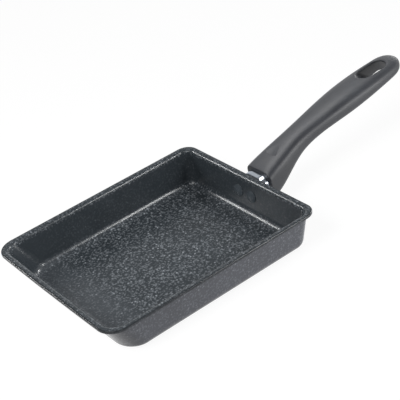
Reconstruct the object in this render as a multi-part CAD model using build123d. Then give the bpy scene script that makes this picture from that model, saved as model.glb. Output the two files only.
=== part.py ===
"""Tamagoyaki pan: a pressed rectangular aluminium pan with a moulded handle on a riveted steel bracket.

The origin is at the middle of the underside of the base. X runs along the pan to the end of the
handle, Y runs across the pan and Z is up. Lengths are in millimetres and angles in degrees.
"""
from build123d import *
from math import cos, isclose, radians, sin, sqrt, tan
import os

# Pan body, measured over the lip
rim_length = 194.4
rim_width = 162.0
pan_height = 34.0
wall = 2.2
base_thickness = 2.6
front_draft = 25.0
side_draft = 10.4
back_draft = 7.0
front_bow = 0.7
rim_front_radius = 15.4
rim_back_radius = 11.3
body_rim_radii = (13.2, 10.0)
body_base_radii = (19.5, 10.4)
bottom_radius = 9.6

# Lip round the rim
lip_reach = 2.9
lip_thickness = 2.0
lip_flare_radius = 3.2
lip_edge_radius = 0.8
lip_root_radius = 1.0

# Groove pressed into the underside of the base
groove_margin = 9.0
groove_width = 2.4
groove_depth = 0.4
groove_corner_radius = 12.0

# Rivets through the handle-side wall, hung from the bracket's web
rivet_drop = 7.3
rivet_spacing = 16.0
rivet_radius = 2.5
rivet_head_radius = 5.3
rivet_head_height = 1.5
rivet_head_edge = 0.5
rivet_tail_radius = 3.8
rivet_tail_height = 1.9
rivet_tail_edge = 0.7

# Steel bracket: a flange on the wall, a web that leaves its top, and two cheeks folded down
sheet = 2.0
web_drop = 7.5
flange_width = 31.0
flange_height = 13.1
flange_corner_radius = 4.0
web_width = 16.0
knee_radius = 3.2
cheek_depth = 8.0
cheek_setback = 6.5
tang_length = 24.0
tang_drop = 6.0
tang_pitch = 30.4
tang_clearance = 0.3

# Polished sleeve between the bracket and the handle
guard_width = 24.6
guard_height = 16.0
guard_length = 6.2
guard_wall = 1.2
guard_front_wall = 1.0
guard_drop = 3.0
guard_corner_radius = 7.5
guard_edge_radius = 0.9

# Handle, from the top edge of its front face, which stands off the rim and above the web
grip_standoff = 8.9
grip_above_web = 8.1
grip_front_pitch = 5.0
grip_half_width = 15.7
grip_half_depth = 13.8
grip_reach = 143.7
grip_rise = 34.0
grip_end_pitch = 8.0
grip_end_length = 18.1
grip_front_edge_radius = 1.2
# each row: top along the reach, top up the rise, half width, half depth, narrowing below, fullness
grip_station_shares = (
    (0.000, 0.000, 1.000, 1.000, 0.14, 3.9),
    (0.045, 0.100, 0.950, 1.018, 0.08, 3.6),
    (0.116, 0.221, 0.856, 0.836, 0.02, 3.2),
    (0.260, 0.439, 0.727, 0.687, 0.00, 2.6),
    (0.446, 0.636, 0.793, 0.631, 0.00, 2.5),
    (0.638, 0.817, 0.911, 0.708, 0.00, 2.5),
    (0.835, 0.932, 0.934, 0.665, 0.00, 2.5),
    (1.000, 1.000, 0.854, 0.582, 0.00, 2.4),
)
grip_station_pitches = (grip_front_pitch, 13.1, 28.9, 20.7, 12.0, 9.4, 8.7, grip_end_pitch)
# how far round the quarter of the rounded end each section stands
grip_end_turns = (30, 54, 72, 85)
grip_end_fullness = 0.75
section_points = 24

# Thumb rest on top of the handle
thumb_start = 15.2
thumb_drop = 2.75
thumb_length = 32.0
thumb_width = 18.0
thumb_pitch = 27.5
thumb_floor_radius = 26.0

# Hanging slot, wide on top and narrower below, set back and down from the handle's end
slot_setback = 27.3
slot_drop = 10.0
slot_length = 30.0
slot_width = 13.0
slot_foot_length = 20.0
slot_foot_width = 17.0
slot_foot_overshoot = 11.5
slot_half_depth = 10.5
slot_edge_radius = 1.5

# Screw that holds the handle on the bracket, from below
screw_distance = 13.5
screw_radius = 2.5
screw_head_radius = 4.5
screw_head_height = 3.2
screw_head_edge = 1.2
screw_seat_depth = 19.5
screw_recess_radius = 5.0
screw_slot_width = 1.2
screw_slot_depth = 1.4
nut_across_flats = 8.0
nut_height = 4.0
washer_radius = 4.6
washer_thickness = 1.2

# Room round shanks in their holes
hole_clearance = 0.3

overrun = 5.0

# Places that follow from these sizes
web_height = pan_height - web_drop
flange_foot_height = web_height - flange_height
rivet_height = web_height - rivet_drop
grip_front_x = rim_length / 2 + grip_standoff
grip_front_z = web_height + grip_above_web
slot_front = grip_front_x + grip_reach - slot_setback
slot_height = grip_front_z + grip_rise - slot_drop


def wall_places(height, inset):
    """Front x, back x and half width of the outer walls at a height, moved in by inset."""
    below_rim = pan_height - height
    front = -rim_length / 2 + lip_reach + below_rim * tan(radians(front_draft)) + inset
    back = rim_length / 2 - lip_reach - below_rim * tan(radians(back_draft)) - inset
    side = rim_width / 2 - lip_reach - below_rim * tan(radians(side_draft)) - inset
    return front, back, side


def bowed_outline(front, back, side, height, corner_radii):
    """A rectangle at a height whose front side bows out, with its front and back corners rounded."""
    bow = ThreePointArc((front, side, height), (front - front_bow, 0, height), (front, -side, height))
    rest = Polyline((front, -side, height), (back, -side, height),
                    (back, side, height), (front, side, height))
    outline = Face(Wire([bow, *rest.edges()]))
    outline = outline.fillet_2d(corner_radii[0], outline.vertices().group_by(Axis.X)[0])
    return outline.fillet_2d(corner_radii[1], [v for v in outline.vertices() if isclose(v.X, back)])


def drafted_block(low, high, inset, foot_radius):
    """The space inside the walls from low to high, moved in by inset, with a rounded foot."""
    sections = []
    for z in (low, high):
        share = z / pan_height
        radii = [foot + (rim - foot) * share - inset for foot, rim in zip(body_base_radii, body_rim_radii)]
        sections.append(bowed_outline(*wall_places(z, inset), z, radii))
    block = loft(sections, ruled=True)
    return fillet(block.edges().group_by(Axis.Z)[0], foot_radius)


def lip_slab():
    """The flat lip that turns out all round the rim."""
    half_length, half_width = rim_length / 2, rim_width / 2
    radii = (rim_front_radius, rim_back_radius)
    outline = bowed_outline(-half_length, half_length, half_width, pan_height - lip_thickness, radii)
    return extrude(outline, lip_thickness, dir=(0, 0, 1))


def pan_body():
    """Drawn shell with a flared lip, a shallow groove under its base and two rivet holes."""
    outer = drafted_block(0, pan_height, 0, bottom_radius)
    cavity = drafted_block(base_thickness, pan_height + overrun, wall, bottom_radius - wall)
    shell = outer + lip_slab() - cavity
    top = shell.faces().sort_by(Axis.Z)[-1]
    shell = fillet(top.inner_wires()[0].edges(), lip_flare_radius)
    top = shell.faces().sort_by(Axis.Z)[-1]
    shell = fillet(top.outer_wire().edges(), lip_edge_radius)
    under = shell.faces().filter_by(Axis.Z).filter_by(lambda f: f.normal_at().Z < 0)
    under = under.sort_by(Axis.Z)[-1]
    shell = fillet(under.inner_wires()[0].edges(), lip_root_radius)
    front, back, side = wall_places(0, bottom_radius + groove_margin)
    across = 2 * groove_width
    groove = RectangleRounded(back - front, 2 * side, groove_corner_radius)
    groove -= RectangleRounded(back - front - across, 2 * side - across, groove_corner_radius - groove_width)
    shell -= Pos((front + back) / 2, 0, 0) * extrude(groove, groove_depth, both=True)
    for place in rivet_places():
        shell -= place * Cylinder(rivet_radius + hole_clearance, 2 * overrun)
    return shell


def wall_seat():
    """Plane on the outside of the handle-side wall at the rivets, looking out of the pan."""
    back = wall_places(rivet_height, 0)[1]
    pitch = radians(back_draft)
    return Plane(origin=(back, 0, rivet_height), x_dir=(0, 1, 0), z_dir=(cos(pitch), 0, -sin(pitch)))


def rivet_places():
    """Places of the two rivets on the wall seat."""
    return [wall_seat().location * Pos(y, 0, 0) for y in (rivet_spacing / 2, -rivet_spacing / 2)]


def rivet():
    """Solid rivet along Z: low domed head inside the pan, shank, and the tail upset on the flange."""
    wall_skin = wall * cos(radians(back_draft))
    inner, outer = -wall_skin, sheet
    crown = inner - rivet_head_height
    rim = inner - rivet_head_edge
    tail = outer + rivet_tail_height
    dome = ThreePointArc((rivet_head_radius, rim), *dome_points(rivet_head_radius, rim, crown))
    outline = Polyline((0, crown), (0, tail), (rivet_tail_radius - rivet_tail_edge, tail),
                       (rivet_tail_radius, tail - rivet_tail_edge), (rivet_tail_radius, outer),
                       (rivet_radius, outer), (rivet_radius, inner), (rivet_head_radius, inner),
                       (rivet_head_radius, rim))
    section = Plane.XZ * Face(Wire([dome, *outline.edges()]))
    return revolve(section, Axis.Z)


def dome_points(radius, rim, crown):
    """Middle and end of the arc from the edge of a low dome to its crown."""
    rise = rim - crown
    sphere = (radius ** 2 + rise ** 2) / (2 * rise)
    middle = radius / 2
    depth = sqrt(sphere ** 2 - middle ** 2) - (sphere - rise)
    return (middle, rim - depth), (0, crown)


def pitched_frame(pitch, along=0, up=0):
    """Plane on the handle's top, with X across, Y up and Z along at a pitch above the level."""
    origin = (grip_front_x + along, 0, grip_front_z + up)
    return Plane(origin=origin, x_dir=(0, 1, 0), z_dir=(cos(radians(pitch)), 0, sin(radians(pitch))))


def knee_points(depth, extra=0):
    """Knee and end of the bracket's web at a depth below its top, longer at the end by extra."""
    pitch = radians(tang_pitch)
    knee_x = grip_front_x + (web_height - grip_front_z + tang_drop / cos(pitch)) / tan(pitch)
    end = pitched_frame(tang_pitch).from_local_coords((0, -tang_drop - depth, tang_length + extra))
    return (knee_x + depth * tan(pitch / 2), web_height - depth), (end.X, end.Z)


def bent_band(upper, lower, start, half_width, extra=0):
    """A block that follows the bent web between two depths, from x start to the tang's end."""
    lines = []
    for depth in (upper, lower):
        points = [(start, web_height - depth), *knee_points(depth, extra)]
        lines.append(FilletPolyline(*points, radius=knee_radius + depth))
    ends = [Line(lines[0] @ end, lines[1] @ end) for end in (0, 1)]
    face = make_face([edge for line in (*lines, *ends) for edge in line.edges()])
    return extrude(Plane.XZ * face, half_width, both=True)


def bracket_strip():
    """Flange, web and tang as one strip of sheet with two bends."""
    foot = (wall_places(flange_foot_height, 0)[1], flange_foot_height)
    top = (wall_places(web_height, 0)[1], web_height)
    line = FilletPolyline(foot, top, *knee_points(0), radius=knee_radius)
    profile = make_face(line.wire().offset_2d(sheet, side=Side.RIGHT, closed=True).edges())
    return extrude(Plane.XZ * profile, web_width / 2, both=True)


def handle_bracket():
    """Pressed steel bracket: flange on the wall, web with a bend and a knee, and two cheeks."""
    low, high = flange_foot_height - rivet_height, web_height - knee_radius - rivet_height
    plate = Pos(0, (low + high) / 2, 0) * RectangleRounded(flange_width, high - low, flange_corner_radius)
    flange = extrude(wall_seat() * plate, sheet)
    cheek_front = wall_places(web_height, 0)[1] + cheek_setback
    cheeks = bent_band(0, cheek_depth, cheek_front, web_width / 2)
    channel = bent_band(sheet, cheek_depth + overrun, cheek_front - overrun, web_width / 2 - sheet, overrun)
    bracket = flange + bracket_strip() + (cheeks - channel)
    for place in rivet_places():
        bracket -= place * Cylinder(rivet_radius + hole_clearance, 2 * overrun)
    return bracket - screw_place(-tang_drop) * Cylinder(screw_radius + hole_clearance, 2 * overrun)


def screw_place(height):
    """Place on the screw's axis, square to the tang, at a height from the front's top edge."""
    return pitched_frame(tang_pitch).location * Pos(0, height, screw_distance) * Rot(-90, 0, 0)


def bracket_nut():
    """Hexagon nut under the web, pressed and welded in place."""
    nut = extrude(RegularPolygon(nut_across_flats / 2, 6, major_radius=False), nut_height)
    nut -= Cylinder(screw_radius + hole_clearance, 3 * nut_height)
    return screw_place(-tang_drop - sheet - nut_height) * nut


def handle_screw():
    """Slotted pan-head screw from below, through the washer and the handle into the nut."""
    length = screw_seat_depth + washer_thickness - tang_drop
    head = Pos(0, 0, -screw_head_height / 2) * Cylinder(screw_head_radius, screw_head_height)
    head = fillet(head.edges().group_by(Axis.Z)[0], screw_head_edge)
    shank = Pos(0, 0, length / 2) * Cylinder(screw_radius, length)
    slot = Pos(0, 0, -screw_head_height) * Box(2 * screw_head_radius, screw_slot_width, 2 * screw_slot_depth)
    return screw_place(-screw_seat_depth - washer_thickness) * (head + shank - slot)


def screw_washer():
    """Flat washer between the screw's head and the handle."""
    ring = Circle(washer_radius) - Circle(screw_radius + hole_clearance)
    return screw_place(-screw_seat_depth - washer_thickness) * extrude(ring, washer_thickness)


def flame_guard():
    """Drawn sleeve with a closed front that the bracket passes through."""
    frame = pitched_frame(grip_front_pitch)
    middle = -guard_drop - guard_height / 2
    outer = RectangleRounded(guard_width, guard_height, guard_corner_radius)
    sleeve = extrude(outer, guard_length)
    sleeve = fillet(sleeve.edges().group_by(Axis.Z)[0], guard_edge_radius)
    hollow = RectangleRounded(guard_width - 2 * guard_wall, guard_height - 2 * guard_wall,
                              guard_corner_radius - guard_wall)
    sleeve -= Pos(0, 0, guard_front_wall) * extrude(hollow, guard_length)
    sleeve = frame.location * Pos(0, middle, -guard_length) * sleeve
    return sleeve - bracket_space()


def bracket_space():
    """The room that the bracket takes in the guard and the handle, with clearance all round."""
    gap = tang_clearance
    start = grip_front_x - guard_length - overrun
    return bent_band(-gap, cheek_depth + gap, start, web_width / 2 + gap, gap)


def grip_section(half_width, half_depth, narrowing, fullness):
    """Closed superellipse round the origin as one smooth curve, narrower towards its foot."""
    points = []
    for n in range(section_points):
        angle = radians(360 * n / section_points)
        across = abs(cos(angle)) ** (2 / fullness) * (1 if cos(angle) > 0 else -1)
        up = abs(sin(angle)) ** (2 / fullness) * (1 if sin(angle) > 0 else -1)
        points.append((half_width * across * (1 - narrowing * (1 - up) / 2), half_depth * up))
    return Face(Wire([Spline(*points, periodic=True)]))


def grip_blank():
    """The handle before its thumb rest, slot and socket are cut."""
    sections = []
    for pitch, shares in zip(grip_station_pitches, grip_station_shares):
        along, up, width, depth, narrowing, fullness = shares
        half_width, half_depth = grip_half_width * width, grip_half_depth * depth
        plane = pitched_frame(pitch, grip_reach * along, grip_rise * up)
        plane = Plane(plane.location * Pos(0, -half_depth, 0))
        sections.append(plane * grip_section(half_width, half_depth, narrowing, fullness))
    for turn in grip_end_turns:
        ahead = plane.offset(grip_end_length * sin(radians(turn)))
        shrink = cos(radians(turn))
        end_width, end_depth = half_width * shrink, half_depth * shrink ** grip_end_fullness
        sections.append(ahead * grip_section(end_width, end_depth, narrowing, fullness))
    return loft(sections)


def thumb_rest():
    """Shallow scoop with a crisp round front, whose hollow floor runs out at its sides and back."""
    start = pitched_frame(tang_pitch).from_local_coords((0, -thumb_drop, thumb_start))
    middle = tilted_plane(start, thumb_pitch).location * Pos(thumb_length / 2, 0, 0)
    scoop = extrude(middle * SlotOverall(thumb_length, thumb_width), overrun)
    hollow = Rot(0, 90, 0) * Cylinder(thumb_floor_radius, thumb_length)
    return scoop & middle * Pos(0, 0, thumb_floor_radius) * hollow


def tilted_plane(origin, pitch):
    """Plane whose X points along the handle at a pitch above the level."""
    angle = radians(pitch)
    return Plane(origin=origin, x_dir=(cos(angle), 0, sin(angle)), z_dir=(-sin(angle), 0, cos(angle)))


def hang_slot():
    """Slot through the handle's end, whose front ramps down to a shorter opening set further back."""
    plane = tilted_plane((slot_front + slot_length / 2, 0, slot_height), grip_end_pitch)
    mouth = plane.offset(slot_half_depth) * SlotOverall(slot_length, slot_width)
    shift = (slot_length - slot_foot_length) / 2 + slot_foot_overshoot
    foot = plane.offset(-slot_half_depth) * Pos(shift, 0, 0) * SlotOverall(slot_foot_length, slot_foot_width)
    return loft([mouth.face(), foot.face()], ruled=True)


def slot_rims(grip):
    """Edges round the slot's two mouths."""
    front, back = slot_front - overrun, slot_front + slot_length + slot_foot_overshoot
    return [edge for edge in grip.edges()
            if front < edge.center().X < back and edge.bounding_box().size.Z < slot_half_depth]


def handle_grip():
    """Moulded handle with a thumb rest, a hanging slot, a socket for the tang and a screw recess."""
    grip = grip_blank()
    grip = fillet(grip.faces().sort_by(Axis.X)[0].edges(), grip_front_edge_radius)
    grip -= hang_slot()
    grip = fillet(slot_rims(grip), slot_edge_radius)
    grip -= thumb_rest()
    grip -= bracket_space()
    grip -= screw_place(-screw_seat_depth) * Cylinder(screw_radius + hole_clearance, 4 * overrun)
    recess = Cylinder(screw_recess_radius, 4 * overrun, align=(Align.CENTER, Align.CENTER, Align.MAX))
    return grip - screw_place(-screw_seat_depth) * recess


def write(name, shape):
    """Writes one node's STEP file."""
    export_step(shape, f"parts/{name}.step")


os.makedirs("parts", exist_ok=True)
left_place, right_place = rivet_places()
write("pan_body", pan_body())
write("rivet_left", left_place * rivet())
write("rivet_right", right_place * rivet())
write("handle_bracket", handle_bracket())
write("bracket_nut", bracket_nut())
write("flame_guard", flame_guard())
write("handle_grip", handle_grip())
write("handle_screw", handle_screw())
write("screw_washer", screw_washer())
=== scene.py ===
"""Looks of the tamagoyaki pan: its coatings, metals and handle, with its floor, lamps and camera.

Every object is in metres in the pan's own frame: X runs along the handle, Y across the pan and Z up,
from the middle of the underside of the base. Sizes in the classes are in millimetres and angles in
degrees, unless a comment says otherwise.
"""
import logging
from dataclasses import dataclass
from enum import Enum
from math import asin, cos, degrees, radians, sin
from typing import Any

import bpy
from mathutils import Matrix, Vector

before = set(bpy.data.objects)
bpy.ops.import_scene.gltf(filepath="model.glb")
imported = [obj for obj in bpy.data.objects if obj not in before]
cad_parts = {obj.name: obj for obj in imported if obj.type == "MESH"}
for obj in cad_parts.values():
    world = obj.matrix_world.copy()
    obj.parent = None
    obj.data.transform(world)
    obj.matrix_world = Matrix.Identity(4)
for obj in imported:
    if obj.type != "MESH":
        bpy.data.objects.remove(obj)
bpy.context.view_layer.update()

log = logging.getLogger("tamagoyaki_pan")
Tree = bpy.types.NodeTree
Socket = bpy.types.NodeSocket
MM = 0.001
WHITE = (1.0, 1.0, 1.0, 1.0)
SOFT_OCTAVES = 2.0
FINE_OCTAVES = 3.0
SOFT_STEP = {"interpolation_type": "SMOOTHSTEP"}
COLOURS = {"data_type": "RGBA"}
TIMES = {"operation": "MULTIPLY"}
LARGER = {"operation": "MAXIMUM"}


class Piece(Enum):
    """The pieces of the pan, by the names of their nodes."""

    SHELL = "pan_body"
    LEFT_RIVET = "rivet_left"
    RIGHT_RIVET = "rivet_right"
    BRACKET = "handle_bracket"
    NUT = "bracket_nut"
    GUARD = "flame_guard"
    GRIP = "handle_grip"
    SCREW = "handle_screw"
    WASHER = "screw_washer"


class Lit(Enum):
    """The pieces that a lamp lights. The empty one stands for everything, the floor too."""

    ALL = ()
    SHELL = (Piece.SHELL, Piece.LEFT_RIVET, Piece.RIGHT_RIVET)
    RIVETS = (Piece.LEFT_RIVET, Piece.RIGHT_RIVET)
    GRIP = (Piece.GRIP,)
    GUARD = (Piece.GUARD,)


def linear(colour: str) -> tuple[float, float, float, float]:
    """Turns an sRGB hex colour into linear light.

    Args:
        colour: six hex digits after a hash sign.

    Returns:
        Red, green, blue and an alpha of one.
    """
    shares = [int(colour[at:at + 2], 16) / 255 for at in (1, 3, 5)]
    red, green, blue = (share / 12.92 if share <= 0.04045 else ((share + 0.055) / 1.055) ** 2.4
                        for share in shares)
    return red, green, blue, 1.0


def direction(azimuth: float, elevation: float) -> Vector:
    """Turns two angles into a direction.

    Args:
        azimuth: degrees from +Y towards +X.
        elevation: degrees above the floor.

    Returns:
        A vector of length one.
    """
    a, e = radians(azimuth), radians(elevation)
    return Vector((sin(a) * cos(e), cos(a) * cos(e), sin(e)))


def add_node(tree: Tree, kind: str, settings: dict[str, Any] | None = None,
             values: dict[Any, Any] | None = None, links: dict[Any, Any] | None = None) -> bpy.types.Node:
    """Adds a node with its settings and links.

    Args:
        tree: the node tree that gets the node.
        kind: Blender's name of the node's type.
        settings: the node's own properties, by name.
        values: values of its inputs, by name or number.
        links: output sockets that feed its inputs, by name or number.

    Returns:
        The new node.
    """
    node = tree.nodes.new(kind)
    for name, value in (settings or {}).items():
        setattr(node, name, value)
    for name, value in (values or {}).items():
        node.inputs[name].default_value = value
    for name, source in (links or {}).items():
        tree.links.new(source, node.inputs[name])
    return node


@dataclass(frozen=True)
class Finish:
    """What all finishes share: a name, an empty material and how a surface is fed to its shader."""

    name: str

    def start(self) -> tuple[bpy.types.Material, Tree, bpy.types.Node, Socket]:
        """Makes an empty material.

        Returns:
            The material, its tree, its shader and a socket with the place on the piece in millimetres.
        """
        material = bpy.data.materials.new(self.name)
        material.use_nodes = True
        tree = material.node_tree
        tree.nodes.clear()
        shader = add_node(tree, "ShaderNodeBsdfPrincipled")
        add_node(tree, "ShaderNodeOutputMaterial", links={"Surface": shader.outputs["BSDF"]})
        place = add_node(tree, "ShaderNodeTexCoord")
        scaled = add_node(tree, "ShaderNodeMapping", values={"Scale": (1 / MM,) * 3},
                          links={"Vector": place.outputs["Object"]})
        return material, tree, shader, scaled.outputs["Vector"]

    def feed(self, shader: bpy.types.Node, colour: Socket, roughness: Socket, height: Socket,
             relief: float) -> None:
        """Feeds a shader its colour, roughness and relief.

        Args:
            shader: the material's shader.
            colour: the socket with the colour.
            roughness: the socket with the roughness.
            height: the socket with the height of the surface, about 0 to 1.
            relief: the depth that a height of one stands for.
        """
        tree = shader.id_data
        bump = add_node(tree, "ShaderNodeBump", values={"Strength": 1.0, "Distance": relief * MM},
                        links={"Height": height})
        tree.links.new(colour, shader.inputs["Base Color"])
        tree.links.new(roughness, shader.inputs["Roughness"])
        tree.links.new(bump.outputs["Normal"], shader.inputs["Normal"])


@dataclass(frozen=True)
class Zones:
    """Sockets that tell where on the pan a point lies, each between 0 and 1."""

    inside: Socket        # 1 on faces that look up, 0 on the outside and the underside
    floor: Socket         # 1 on the floor, down to the walls' share of flecks above it
    full: Socket          # 1 where the spatter is full, less at the front
    lip: Socket           # the share of flecks on the lip's light band, partly a painted highlight
    behind_edge: Socket   # 0 in the lip's dark outer line of painted shade, 1 behind it


@dataclass(frozen=True)
class SpeckledCoating(Finish):
    """PTFE non-stick coating, sprayed as a dark coat with a spatter of pale dots over it.

    The spatter gives the eye pale flecks over a fine mist, and the orange-peel skin breaks every
    highlight into sparks. Inside the pan the ground is darker than outside, and the spatter thins
    out on the walls and at the front of the floor. The ground there is painted lighter as painted
    light, a dark line of painted shade runs along the lip's outer edge, and the lip's extra flecks
    paint part of its highlight.
    """

    inside: str = "#2c3135"
    painted_light_inside: str = "#3e4246"              # the ground is painted lighter at the front of the floor, painted light that lifts the shade there
    outside: str = "#484a50"
    fleck: str = "#b4bac1"
    fleck_spacing: float = 2.5
    fleck_radius: float = 1.0
    fleck_core: float = 0.45                  # share of the radius that is fully pale
    fleck_rarity: float = 2.8                 # the higher, the fewer of the flecks are bright
    fleck_strength: float = 0.56
    mist_size: float = 1.6
    mist_limits: tuple[float, float] = (0.48, 0.7)
    mist_strength: float = 0.27
    outer_flecks: float = 0.5                 # share of flecks on the outside
    wall_flecks: float = 0.12                 # share of flecks on the inner walls
    wall_turn: float = 0.12                   # upward slope over which outside turns into inside
    floor_edge: float = 4.0                   # the floor's full spatter ends at this height
    floor_fade: float = 5.0
    thin_ends: tuple[float, float] = (-74.0, -32.0)  # along the floor, from thin to full spatter
    thin_flecks: float = 0.35
    rim_start: float = 29.0
    rim_fade: float = 2.0
    rim_flecks_and_highlight: float = 0.7
    rim_half: tuple[float, float] = (97.2, 81.0)
    rim_radii: tuple[float, float] = (15.4, 11.3)    # of the lip's front and back corners
    rim_middle: float = 1.0                   # half of the strip in which one radius gives way
    rim_clear: float = 1000.0                 # a height beyond the pan, so that Z never counts
    edge_line: tuple[float, float] = (0.55, 1.54)    # depths over which the lip's dark outer line of painted shade ends
    # share of the colour left in that line of painted shade
    edge_shade: float = 0.55
    cloud_size: float = 26.0
    cloud_shades: tuple[float, float] = (0.82, 1.2)
    peel_size: float = 1.6
    peel_height: float = 0.045
    roughness: tuple[float, float] = (0.16, 0.28)
    ior: float = 1.35

    def find_edge(self, tree: Tree, place: Socket, lengthwise: Socket) -> Socket:
        """Finds the lip's dark outer line of painted shade, by how far a point lies inside the lip's
        rounded outline.

        Args:
            tree: the node tree.
            place: the place on the piece in millimetres.
            lengthwise: the X of that place.

        Returns:
            A socket that is 0 in the line and 1 behind it.
        """
        radius = add_node(tree, "ShaderNodeMapRange",
                          values={"From Min": -self.rim_middle, "From Max": self.rim_middle,
                                  "To Min": self.rim_radii[0], "To Max": self.rim_radii[1]},
                          links={"Value": lengthwise}).outputs["Result"]
        quarter = add_node(tree, "ShaderNodeVectorMath", {"operation": "ABSOLUTE"}, links={0: place})
        straight = add_node(tree, "ShaderNodeVectorMath", {"operation": "SUBTRACT"},
                            {0: (*self.rim_half, self.rim_clear)}, {1: radius})
        past = add_node(tree, "ShaderNodeVectorMath", {"operation": "SUBTRACT"},
                        links={0: quarter.outputs["Vector"], 1: straight.outputs["Vector"]})
        corner = add_node(tree, "ShaderNodeVectorMath", LARGER, {1: (0.0, 0.0, 0.0)},
                          {0: past.outputs["Vector"]})
        span = add_node(tree, "ShaderNodeVectorMath", {"operation": "LENGTH"},
                        links={0: corner.outputs["Vector"]})
        outward = add_node(tree, "ShaderNodeMath", {"operation": "SUBTRACT"},
                           links={0: span.outputs["Value"], 1: radius})
        start, end = self.edge_line
        return add_node(tree, "ShaderNodeMapRange", SOFT_STEP, {"From Min": -start, "From Max": -end},
                        {"Value": outward.outputs["Value"]}).outputs["Result"]

    def find_zones(self, tree: Tree, place: Socket) -> Zones:
        """Finds the parts of the pan that the spray reached differently, and where shade and light are
        painted.

        Args:
            tree: the node tree.
            place: the place on the piece in millimetres.

        Returns:
            The zones.
        """
        where = add_node(tree, "ShaderNodeSeparateXYZ", links={"Vector": place}).outputs
        normal = add_node(tree, "ShaderNodeTexCoord").outputs["Normal"]
        facing = add_node(tree, "ShaderNodeSeparateXYZ", links={"Vector": normal}).outputs
        inside = add_node(tree, "ShaderNodeMapRange", SOFT_STEP,
                          {"From Min": -self.wall_turn, "From Max": self.wall_turn},
                          {"Value": facing["Z"]})
        floor = add_node(tree, "ShaderNodeMapRange", SOFT_STEP,
                         {"From Min": self.floor_edge + self.floor_fade, "From Max": self.floor_edge,
                          "To Min": self.wall_flecks}, {"Value": where["Z"]})
        thin, full = self.thin_ends
        along = add_node(tree, "ShaderNodeMapRange", SOFT_STEP,
                         {"From Min": thin, "From Max": full, "To Min": self.thin_flecks},
                         {"Value": where["X"]})
        # more pale flecks on the lip: real spatter, and partly a painted highlight of its light band
        high = add_node(tree, "ShaderNodeMapRange", SOFT_STEP,
                        {"From Min": self.rim_start, "From Max": self.rim_start + self.rim_fade,
                         "To Max": self.rim_flecks_and_highlight}, {"Value": where["Z"]})
        behind_edge = self.find_edge(tree, place, where["X"])
        lip_flecks_and_highlight = add_node(tree, "ShaderNodeMath", TIMES, links={0: high.outputs["Result"], 1: behind_edge})
        return Zones(inside.outputs["Result"], floor.outputs["Result"], along.outputs["Result"],
                     lip_flecks_and_highlight.outputs["Value"], behind_edge)

    def share_flecks(self, tree: Tree, zones: Zones) -> Socket:
        """Gives the share of the spatter that each zone gets.

        Args:
            tree: the node tree.
            zones: the zones of the pan.

        Returns:
            The socket with the share.
        """
        within = add_node(tree, "ShaderNodeMath", TIMES, links={0: zones.floor, 1: zones.full})
        most = add_node(tree, "ShaderNodeMath", LARGER, links={0: within.outputs["Value"], 1: zones.lip})
        return add_node(tree, "ShaderNodeMix", {"data_type": "FLOAT"}, {"A": self.outer_flecks},
                        {"Factor": zones.inside, "B": most.outputs["Value"]}).outputs["Result"]

    def lay_ground(self, tree: Tree, zones: Zones, cloud: Socket) -> Socket:
        """Gives the colour of the dark coat under the spatter, with painted shade along the lip's outer
        line and painted light at the front of the floor.

        Args:
            tree: the node tree.
            zones: the zones of the pan.
            cloud: a wide, soft unevenness.

        Returns:
            The socket with the colour.
        """
        # the ground turns lighter towards the front of the floor: painted light
        thin = add_node(tree, "ShaderNodeMapRange",
                        values={"From Min": 1.0, "From Max": self.thin_flecks},
                        links={"Value": zones.full})
        painted_light_front = add_node(tree, "ShaderNodeMath", TIMES,
                              links={0: thin.outputs["Result"], 1: zones.floor})
        within = add_node(tree, "ShaderNodeMix", COLOURS,
                          {"A": linear(self.inside), "B": linear(self.painted_light_inside)},
                          {"Factor": painted_light_front.outputs["Value"]})
        ground = add_node(tree, "ShaderNodeMix", COLOURS, {"A": linear(self.outside)},
                          {"Factor": zones.inside, "B": within.outputs["Result"]})
        darkest, lightest = self.cloud_shades
        shade = add_node(tree, "ShaderNodeMapRange", values={"To Min": darkest, "To Max": lightest},
                         links={"Value": cloud})
        # the lip's dark outer line is painted shade, which darkens the ground there
        painted_edge_shade = add_node(tree, "ShaderNodeMapRange", values={"To Min": self.edge_shade},
                        links={"Value": zones.behind_edge})
        cloud_and_edge_shade = add_node(tree, "ShaderNodeMath", TIMES,
                        links={0: shade.outputs["Result"], 1: painted_edge_shade.outputs["Result"]})
        return add_node(tree, "ShaderNodeMix", {**COLOURS, "blend_type": "MULTIPLY"}, {"Factor": 1.0},
                        {"A": ground.outputs["Result"], "B": cloud_and_edge_shade.outputs["Value"]}).outputs["Result"]

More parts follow.
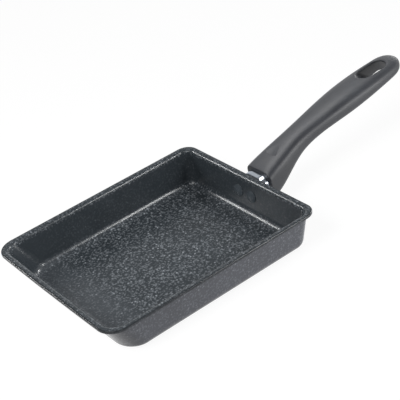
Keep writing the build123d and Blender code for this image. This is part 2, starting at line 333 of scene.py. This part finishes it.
    def spatter(self, tree: Tree, place: Socket) -> tuple[Socket, Socket]:
        """Throws the pale flecks and the fine mist between them.

        Args:
            tree: the node tree.
            place: the place on the piece in millimetres.

        Returns:
            The socket with the flecks alone, and the one with flecks and mist.
        """
        cells = add_node(tree, "ShaderNodeTexVoronoi", {"feature": "F1"},
                         {"Scale": 1 / self.fleck_spacing}, {"Vector": place})
        reach = self.fleck_radius / self.fleck_spacing
        dot = add_node(tree, "ShaderNodeMapRange", SOFT_STEP,
                       {"From Min": reach, "From Max": reach * self.fleck_core},
                       {"Value": cells.outputs["Distance"]})
        chance = add_node(tree, "ShaderNodeSeparateColor", links={"Color": cells.outputs["Color"]})
        rarity = add_node(tree, "ShaderNodeMath", {"operation": "POWER"}, {1: self.fleck_rarity},
                          {0: chance.outputs["Red"]})
        dots = add_node(tree, "ShaderNodeMath", TIMES,
                        links={0: dot.outputs["Result"], 1: rarity.outputs["Value"]})
        flecks = add_node(tree, "ShaderNodeMath", TIMES, {1: self.fleck_strength},
                          {0: dots.outputs["Value"]})
        grain = add_node(tree, "ShaderNodeTexNoise",
                         values={"Scale": 1 / self.mist_size, "Detail": FINE_OCTAVES},
                         links={"Vector": place})
        start, end = self.mist_limits
        mist = add_node(tree, "ShaderNodeMapRange", SOFT_STEP,
                        {"From Min": start, "From Max": end, "To Max": self.mist_strength},
                        {"Value": grain.outputs["Fac"]})
        both = add_node(tree, "ShaderNodeMath", LARGER,
                        links={0: flecks.outputs["Value"], 1: mist.outputs["Result"]})
        return flecks.outputs["Value"], both.outputs["Value"]

    def build(self) -> bpy.types.Material:
        """Makes the material.

        Returns:
            The finished material.
        """
        material, tree, shader, place = self.start()
        zones = self.find_zones(tree, place)
        cloud = add_node(tree, "ShaderNodeTexNoise",
                         values={"Scale": 1 / self.cloud_size, "Detail": SOFT_OCTAVES},
                         links={"Vector": place}).outputs["Fac"]
        flecks, spatter = self.spatter(tree, place)
        amount = add_node(tree, "ShaderNodeMath", TIMES,
                          links={0: spatter, 1: self.share_flecks(tree, zones)})
        colour = add_node(tree, "ShaderNodeMix", COLOURS, {"B": linear(self.fleck)},
                          {"Factor": amount.outputs["Value"], "A": self.lay_ground(tree, zones, cloud)})
        peel = add_node(tree, "ShaderNodeTexNoise",
                        values={"Scale": 1 / self.peel_size, "Detail": SOFT_OCTAVES},
                        links={"Vector": place})
        height = add_node(tree, "ShaderNodeMath", {"operation": "ADD"},
                          links={0: peel.outputs["Fac"], 1: flecks})
        glossy, dull = self.roughness
        gloss = add_node(tree, "ShaderNodeMapRange", values={"To Min": glossy, "To Max": dull},
                         links={"Value": cloud})
        shader.inputs["IOR"].default_value = self.ior
        self.feed(shader, colour.outputs["Result"], gloss.outputs["Result"], height.outputs["Value"],
                  self.peel_height)
        return material


@dataclass(frozen=True)
class MouldedPhenolic(Finish):
    """Compression-moulded phenolic resin with the fine matt skin of a blasted mould.

    The skin spreads the light of a lamp into one soft, wide sheen, and the filler clouds the colour.
    """

    resin: str = "#26282d"
    filler: str = "#34373d"
    filler_limits: tuple[float, float] = (0.1, 0.45)
    grain_size: float = 0.5            # the real grain is finer and is drawn this coarse to show
    grain_height: float = 0.03
    flow_size: float = 18.0
    roughness: tuple[float, float] = (0.42, 0.54)
    ior: float = 1.6

    def build(self) -> bpy.types.Material:
        """Makes the material.

        Returns:
            The finished material.
        """
        material, tree, shader, place = self.start()
        flow = add_node(tree, "ShaderNodeTexNoise",
                        values={"Scale": 1 / self.flow_size, "Detail": FINE_OCTAVES},
                        links={"Vector": place})
        grain = add_node(tree, "ShaderNodeTexNoise",
                         values={"Scale": 1 / self.grain_size, "Detail": SOFT_OCTAVES},
                         links={"Vector": place})
        both = add_node(tree, "ShaderNodeMath", TIMES,
                        links={0: flow.outputs["Fac"], 1: grain.outputs["Fac"]})
        start, end = self.filler_limits
        spread = add_node(tree, "ShaderNodeMapRange", values={"From Min": start, "From Max": end},
                          links={"Value": both.outputs["Value"]})
        colour = add_node(tree, "ShaderNodeMix", COLOURS,
                          {"A": linear(self.resin), "B": linear(self.filler)},
                          {"Factor": spread.outputs["Result"]})
        glossy, dull = self.roughness
        gloss = add_node(tree, "ShaderNodeMapRange", values={"To Min": glossy, "To Max": dull},
                         links={"Value": flow.outputs["Fac"]})
        shader.inputs["IOR"].default_value = self.ior
        self.feed(shader, colour.outputs["Result"], gloss.outputs["Result"], grain.outputs["Fac"],
                  self.grain_height)
        return material


@dataclass(frozen=True)
class WorkedSteel(Finish):
    """Steel whose last working leaves fine lines one way, over a faint unevenness.

    On polished steel they are hardly seen in a clear mirror. Pressed and turned steel with its zinc
    plating shows a soft grey sheen along them.
    """

    tone: str
    dark_tone: str
    roughness: float
    roughness_spread: tuple[float, float] = (0.7, 1.4)   # shares of the roughness, from line to line
    line_size: float = 0.35            # the real lines are finer and are drawn this coarse to show
    line_length: float = 12.0
    line_height: float = 0.004
    cloud_size: float = 9.0

    def build(self) -> bpy.types.Material:
        """Makes the material.

        Returns:
            The finished material.
        """
        material, tree, shader, place = self.start()
        drawn = add_node(tree, "ShaderNodeMapping",
                         values={"Scale": (1 / self.line_size, 1 / self.line_length, 1 / self.line_size)},
                         links={"Vector": place})
        lines = add_node(tree, "ShaderNodeTexNoise", values={"Scale": 1.0, "Detail": FINE_OCTAVES},
                         links={"Vector": drawn.outputs["Vector"]})
        cloud = add_node(tree, "ShaderNodeTexNoise",
                         values={"Scale": 1 / self.cloud_size, "Detail": SOFT_OCTAVES},
                         links={"Vector": place})
        colour = add_node(tree, "ShaderNodeMix", COLOURS,
                          {"A": linear(self.dark_tone), "B": linear(self.tone)},
                          {"Factor": cloud.outputs["Fac"]})
        glossy, dull = (share * self.roughness for share in self.roughness_spread)
        gloss = add_node(tree, "ShaderNodeMapRange", values={"To Min": glossy, "To Max": dull},
                         links={"Value": lines.outputs["Fac"]})
        shader.inputs["Metallic"].default_value = 1.0
        self.feed(shader, colour.outputs["Result"], gloss.outputs["Result"], lines.outputs["Fac"],
                  self.line_height)
        return material


def dress(piece: Piece, material: bpy.types.Material) -> None:
    """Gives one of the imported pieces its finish.

    Args:
        piece: the piece.
        material: the finish for all of it.
    """
    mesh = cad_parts[piece.value].data
    for number in range(max(1, len(mesh.materials))):
        if number < len(mesh.materials):
            mesh.materials[number] = material
        else:
            mesh.materials.append(material)
    log.info("%s has the finish %s", piece.value, material.name)


@dataclass
class CookingShell:
    """The drawn shell and the two rivets that hold the bracket on it."""

    coating: SpeckledCoating = SpeckledCoating("sprayed_ptfe_spatter_coat")
    rivet_coating: SpeckledCoating = SpeckledCoating("sprayed_ptfe_on_rivets", outside="#2c3135",
                                                     outer_flecks=0.12)

    def build(self) -> None:
        """Dresses the shell and the rivets."""
        dress(Piece.SHELL, self.coating.build())
        material = self.rivet_coating.build()
        for piece in (Piece.LEFT_RIVET, Piece.RIGHT_RIVET):
            dress(piece, material)


@dataclass
class BracketSet:
    """The pressed bracket with its nut, screw and washer."""

    sheet: WorkedSteel = WorkedSteel("zinc_plated_pressed_steel", "#a3a7aa", "#8b9094", 0.34)
    fastener: WorkedSteel = WorkedSteel("zinc_plated_turned_steel", "#b4b7b8", "#9fa3a5", 0.26)

    def build(self) -> None:
        """Dresses the bracket and its fasteners."""
        dress(Piece.BRACKET, self.sheet.build())
        material = self.fastener.build()
        for piece in (Piece.NUT, Piece.SCREW, Piece.WASHER):
            dress(piece, material)


@dataclass
class HandleSet:
    """The moulded handle and the polished sleeve in front of it."""

    moulding: MouldedPhenolic = MouldedPhenolic("moulded_phenolic")
    polish: WorkedSteel = WorkedSteel("polished_stainless_steel", "#b6bcc5", "#a4abb5", 0.14)

    def build(self) -> None:
        """Dresses the handle and its sleeve."""
        dress(Piece.GRIP, self.moulding.build())
        dress(Piece.GUARD, self.polish.build())


@dataclass(frozen=True)
class SoftLamp:
    """A rectangular soft lamp that faces the pan. Its power is in watts."""

    name: str
    azimuth: float
    elevation: float
    width: float
    height: float
    watts: float
    lit: Lit
    distance: float = 900.0

    def hang(self, aim: Vector) -> None:
        """Hangs the lamp and keeps its light to its own pieces.

        Args:
            aim: the point that it faces, in metres.
        """
        away = direction(self.azimuth, self.elevation)
        lamp = bpy.data.lights.new(self.name, "AREA")
        lamp.shape, lamp.energy = "RECTANGLE", self.watts
        lamp.size, lamp.size_y = self.width * MM, self.height * MM
        holder = bpy.data.objects.new(self.name, lamp)
        bpy.context.scene.collection.objects.link(holder)
        holder.matrix_world = (Matrix.Translation(aim + away * self.distance * MM)
                               @ away.to_track_quat("Z", "Y").to_matrix().to_4x4())
        if self.lit is not Lit.ALL:
            receivers = bpy.data.collections.new(f"{self.name}_receivers")
            for piece in self.lit.value:
                receivers.objects.link(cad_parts[piece.value])
            holder.light_linking.receiver_collection = receivers
        log.info("%s stands at %.0f degrees and lights %s", self.name, self.azimuth,
                 self.lit.name.lower())


@dataclass
class Studio:
    """The white floor and surroundings, the soft lamps and the camera."""

    floor_half: float = 3000.0
    floor_drop: float = 0.1                   # keeps the floor just clear of the pan's base
    floor_colour: str = "#f4f4f4"
    floor_cover: float = 0.8                  # share of the floor's own white where it is seen
    floor_glow: float = 1.15                  # strength of that white, which the paint fills up to 1
    surround: float = 0.5                     # strength of the surroundings' light on the pan
    room_limits: tuple[float, float] = (0.2, 0.8)       # cosines off the camera's side of the room
    room_level: float = 0.1
    ceiling_limits: tuple[float, float] = (0.4, 0.56)   # sines of the height over the horizon
    ceiling_level: float = 0.4
    azimuth: float = 31.296
    elevation: float = 32.209
    roll: float = 11.643
    offset: tuple[float, float, float] = (-14.708, 50.848, 890.318)
    focal_pixels: float = 1138.5
    frame_pixels: int = 400
    axis_pixel: tuple[float, float] = (180.0, 200.0)
    sensor_width: float = 36.0
    clip_metres: tuple[float, float] = (0.01, 100.0)
    aim: tuple[float, float, float] = (60.0, 0.0, 25.0)
    # a lamp for a few pieces gives them the highlight that the photograph shows there
    lamps: tuple[SoftLamp, ...] = (
        SoftLamp("front_left_softbox", -105.0, 46.0, 400.0, 400.0, 4.2, Lit.ALL),
        SoftLamp("right_low_softbox", 142.0, 2.0, 240.0, 160.0, 1.45, Lit.ALL, distance=560.0),
        SoftLamp("left_fill", -160.0, 58.0, 160.0, 160.0, 1.2, Lit.SHELL),
        SoftLamp("right_strip", 150.0, 32.0, 100.0, 360.0, 4.4, Lit.SHELL),
        SoftLamp("far_right_strip", 88.0, 28.0, 130.0, 220.0, 3.6, Lit.SHELL),
        SoftLamp("back_left_strip", -36.0, 28.0, 80.0, 320.0, 3.3, Lit.SHELL),
        SoftLamp("rivet_softbox", -122.0, 30.0, 420.0, 330.0, 5.0, Lit.RIVETS),
        SoftLamp("back_softbox", 22.0, 74.0, 800.0, 600.0, 6.6, Lit.GRIP),
        SoftLamp("far_softbox", 70.0, 12.0, 300.0, 200.0, 0.8, Lit.GRIP),
        SoftLamp("guard_softbox", 25.0, 37.0, 400.0, 300.0, 0.16, Lit.GUARD),
        SoftLamp("top_spot", 98.0, 60.0, 440.0, 440.0, 5.0, Lit.GUARD),
    )

    def ahead(self) -> Vector:
        """Gives the direction in which the photograph was taken."""
        return direction(self.azimuth, -self.elevation)

    def white_where_seen(self, tree: Tree, high: float, low: float) -> Socket:
        """Gives one value to rays from the camera or a mirror and another to the light.

        Args:
            tree: the node tree.
            high: the value for camera, glossy and transmission rays.
            low: the value for all other rays.

        Returns:
            The socket that carries the value.
        """
        path = add_node(tree, "ShaderNodeLightPath").outputs
        adding = {"operation": "ADD", "use_clamp": True}
        seen = add_node(tree, "ShaderNodeMath", adding,
                        links={0: path["Is Camera Ray"], 1: path["Is Glossy Ray"]})
        either = add_node(tree, "ShaderNodeMath", adding,
                          links={0: seen.outputs["Value"], 1: path["Is Transmission Ray"]})
        return add_node(tree, "ShaderNodeMapRange", values={"To Min": low, "To Max": high},
                        links={"Value": either.outputs["Value"]}).outputs["Result"]

    def build_surround(self) -> None:
        """Makes surroundings that are white to the camera and a room with a dim side to the pan.

        To every other ray, the side that the photograph was taken from and the ceiling are dimmer.
        Both are fixed in the room, and they give the walls and the gloss their gradients.
        """
        world = bpy.data.worlds.new("white_surround")
        world.use_nodes = True
        tree = world.node_tree
        tree.nodes.clear()
        sight = add_node(tree, "ShaderNodeTexCoord").outputs["Generated"]
        towards = add_node(tree, "ShaderNodeVectorMath", {"operation": "DOT_PRODUCT"},
                           {1: -self.ahead()}, {0: sight})
        height = add_node(tree, "ShaderNodeSeparateXYZ", links={"Vector": sight})
        room, ceiling = (
            add_node(tree, "ShaderNodeMapRange", SOFT_STEP,
                     {"From Min": start, "From Max": end, "To Min": 1.0, "To Max": level},
                     {"Value": source}).outputs["Result"]
            for (start, end), level, source in (
                (self.room_limits, self.room_level, towards.outputs["Value"]),
                (self.ceiling_limits, self.ceiling_level, height.outputs["Z"])))
        dimmest = add_node(tree, "ShaderNodeMath", {"operation": "MINIMUM"}, links={0: room, 1: ceiling})
        level = add_node(tree, "ShaderNodeMath", TIMES,
                         links={0: self.white_where_seen(tree, 1.0, self.surround),
                                1: dimmest.outputs["Value"]})
        path = add_node(tree, "ShaderNodeLightPath")
        strength = add_node(tree, "ShaderNodeMath", LARGER,
                            links={0: level.outputs["Value"], 1: path.outputs["Is Camera Ray"]})
        background = add_node(tree, "ShaderNodeBackground", values={"Color": WHITE},
                              links={"Strength": strength.outputs["Value"]})
        add_node(tree, "ShaderNodeOutputWorld", links={"Surface": background.outputs["Background"]})
        bpy.context.scene.world = world

    def build_floor(self) -> None:
        """Lays the floor, which is white where it is seen and keeps the pan's shadow in its paint."""
        bpy.ops.object.select_all(action="DESELECT")
        bpy.ops.mesh.primitive_plane_add(size=2 * self.floor_half * MM,
                                         location=(0, 0, -self.floor_drop * MM))
        floor = bpy.context.object
        floor.name = "white_floor"
        material = bpy.data.materials.new("painted_white_board")
        material.use_nodes = True
        tree = material.node_tree
        tree.nodes.clear()
        paint = add_node(tree, "ShaderNodeBsdfDiffuse", values={"Color": linear(self.floor_colour)})
        glow = add_node(tree, "ShaderNodeEmission",
                        values={"Color": WHITE, "Strength": self.floor_glow})
        both = add_node(tree, "ShaderNodeMixShader",
                        links={0: self.white_where_seen(tree, self.floor_cover, 0.0),
                               1: paint.outputs["BSDF"], 2: glow.outputs["Emission"]})
        add_node(tree, "ShaderNodeOutputMaterial", links={"Surface": both.outputs["Shader"]})
        floor.data.materials.append(material)
        log.info("%s is laid", floor.name)

    def build_camera(self) -> None:
        """Sets the camera where the photograph was taken from."""
        ahead, turn = self.ahead(), radians(self.roll)
        right = ahead.cross(Vector((0, 0, 1))).normalized()
        down = ahead.cross(right)
        right, down = right * cos(turn) + down * sin(turn), down * cos(turn) - right * sin(turn)
        x, y, z = self.offset
        place = -(right * x + down * y + ahead * z) * MM
        lens = bpy.data.cameras.new("photograph_view")
        lens.sensor_width = self.sensor_width
        lens.lens = lens.sensor_width * self.focal_pixels / self.frame_pixels
        lens.shift_x = 0.5 - self.axis_pixel[0] / self.frame_pixels
        lens.shift_y = self.axis_pixel[1] / self.frame_pixels - 0.5
        lens.clip_start, lens.clip_end = self.clip_metres
        camera = bpy.data.objects.new("photograph_view", lens)
        bpy.context.scene.collection.objects.link(camera)
        facing = Matrix((right, -down, -ahead)).transposed()
        camera.matrix_world = Matrix.Translation(place) @ facing.to_4x4()
        bpy.context.scene.camera = camera
        log.info("the camera looks down by %.1f degrees", degrees(asin(-ahead.z)))

    def build(self) -> None:
        """Builds the surroundings, floor, lamps and camera."""
        self.build_surround()
        self.build_floor()
        for lamp in self.lamps:
            lamp.hang(Vector(self.aim) * MM)
        self.build_camera()
        bpy.context.scene.view_settings.view_transform = "Standard"


def main() -> None:
    """Builds the pan's looks and its surroundings in order."""
    logging.basicConfig(level=logging.INFO)
    CookingShell().build()
    BracketSet().build()
    HandleSet().build()
    Studio().build()


if __name__ == "__main__":
    main()
